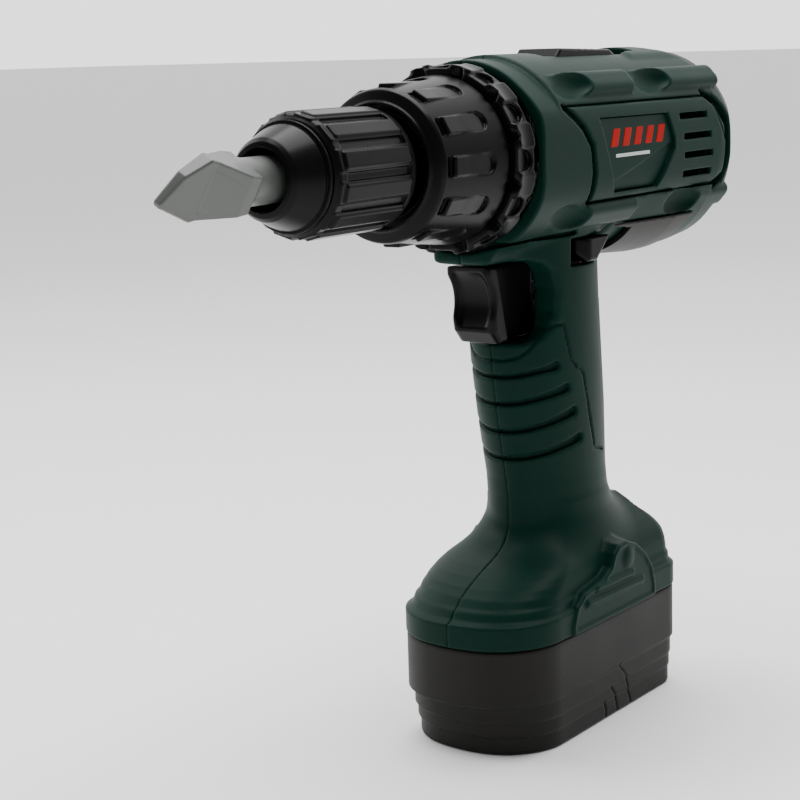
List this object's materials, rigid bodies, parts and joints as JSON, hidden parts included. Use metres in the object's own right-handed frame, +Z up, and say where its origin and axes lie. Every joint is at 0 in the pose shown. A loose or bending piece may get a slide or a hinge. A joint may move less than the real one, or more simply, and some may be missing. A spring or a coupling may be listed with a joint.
{
  "type": "toy power drill",
  "caption": "Toy cordless drill with a ribbed chuck, square-socket bit, torque collar, geared motor, trigger, switches and battery pack.",
  "frame": {"origin": "centre of the flat underside that the drill stands on", "axes": "+Z up, -X forward along the spindle towards the bit, -Y the drill's left side"},
  "size_m": [0.256, 0.0546, 0.205],
  "materials": {
    "green_plastic": "moulded, fine satin grain",
    "black_plastic": "moulded, semi-gloss",
    "charcoal_plastic": "moulded, matte",
    "pad_plastic": "moulded, matte",
    "bit_plastic": "moulded, satin silver grey",
    "label_print": "printed film",
    "gear_nylon": "natural moulded",
    "switch_plastic": "moulded",
    "screw_steel": "zinc plated",
    "spring_steel": "drawn wire",
    "shaft_steel": "ground",
    "can_steel": "plated sheet",
    "contact_steel": "nickel plated sheet",
    "bush_brass": "turned",
    "magnet_ferrite": "sintered",
    "cell_sleeve": "shrink sleeve",
    "wire_sleeve": "flexible insulation"
  },
  "bodies": {
    "drill_body": {"housing_left": "green_plastic", "housing_right": "green_plastic", "housing_screws": "screw_steel", "vent_panel_left": "green_plastic", "vent_panel_right": "green_plastic", "label_left": "label_print", "label_right": "label_print", "palm_pad": "pad_plastic", "gearbox_ring": "black_plastic", "click_spring": "spring_steel", "spindle_bush": "bush_brass", "gearbox_case": "gear_nylon", "gearbox_plate": "gear_nylon", "gearbox_screws": "screw_steel", "gear_axles": "shaft_steel", "motor_can": "can_steel", "motor_magnets": "magnet_ferrite", "motor_endcap": "switch_plastic", "trigger_spring": "spring_steel", "trigger_switch": "switch_plastic", "direction_switch": "switch_plastic", "speed_switch_body": "switch_plastic", "battery_case": "charcoal_plastic", "battery_cells": "cell_sleeve", "cell_springs": "spring_steel", "cell_contacts": "contact_steel", "supply_wires": "wire_sleeve", "motor_wires": "wire_sleeve"},
    "spindle": {"spindle_shaft": "black_plastic", "output_gear": "gear_nylon", "chuck_nose": "black_plastic", "chuck_sleeve": "black_plastic"},
    "bit": {"bit": "bit_plastic"},
    "counter_shaft_2": {"counter_gear_2": "gear_nylon"},
    "counter_shaft_1": {"counter_gear_1": "gear_nylon"},
    "motor_shaft": {"motor_rotor": "shaft_steel", "motor_pinion": "bush_brass"},
    "torque_collar": {"torque_collar": "black_plastic"},
    "trigger": {"trigger": "black_plastic"},
    "direction_button": {"direction_button": "black_plastic"},
    "speed_switch": {"speed_slider": "black_plastic"},
    "battery_door": {"battery_door": "charcoal_plastic", "door_screw": "screw_steel"}
  },
  "joints": [
    {"name": "spindle_spin", "type": "hinge", "parent": "drill_body", "child": "spindle", "pos_m": [-0.05, 0, 0.1755], "axis": [1, 0, 0], "continuous": true},
    {"name": "counter_2_spin", "type": "hinge", "parent": "drill_body", "child": "counter_shaft_2", "pos_m": [0.012, 0, 0.164], "axis": [1, 0, 0], "continuous": true},
    {"name": "counter_1_spin", "type": "hinge", "parent": "drill_body", "child": "counter_shaft_1", "pos_m": [0.022, 0, 0.1755], "axis": [1, 0, 0], "continuous": true},
    {"name": "motor_spin", "type": "hinge", "parent": "drill_body", "child": "motor_shaft", "pos_m": [0.022, 0, 0.164], "axis": [1, 0, 0], "continuous": true},
    {"name": "bit_pull", "type": "slide", "parent": "spindle", "child": "bit", "axis": [-1, 0, 0], "range_m": [0, 0.035]},
    {"name": "torque_collar_turn", "type": "hinge", "parent": "drill_body", "child": "torque_collar", "pos_m": [-0.065, 0, 0.1755], "axis": [1, 0, 0], "range_deg": [-135, 135]},
    {"name": "trigger_pull", "type": "slide", "parent": "drill_body", "child": "trigger", "axis": [1, 0, 0], "range_m": [0, 0.005], "stiffness_N_per_m": 300, "springref_m": -0.003, "deforming": ["trigger_spring"]},
    {"name": "direction_shift", "type": "slide", "parent": "drill_body", "child": "direction_button", "axis": [0, 1, 0], "range_m": [-0.0025, 0.0025]},
    {"name": "speed_shift", "type": "slide", "parent": "drill_body", "child": "speed_switch", "axis": [1, 0, 0], "range_m": [0, 0.008]},
    {"name": "battery_door_slide", "type": "slide", "parent": "drill_body", "child": "battery_door", "axis": [0, 0, -1], "range_m": [0, 0.03]}
  ],
  "couplings": [
    {"joint": "counter_1_spin", "follows": "motor_spin", "ratio": -0.27778},
    {"joint": "counter_2_spin", "follows": "motor_spin", "ratio": 0.098039},
    {"joint": "spindle_spin", "follows": "motor_spin", "ratio": -0.034602}
  ]
}
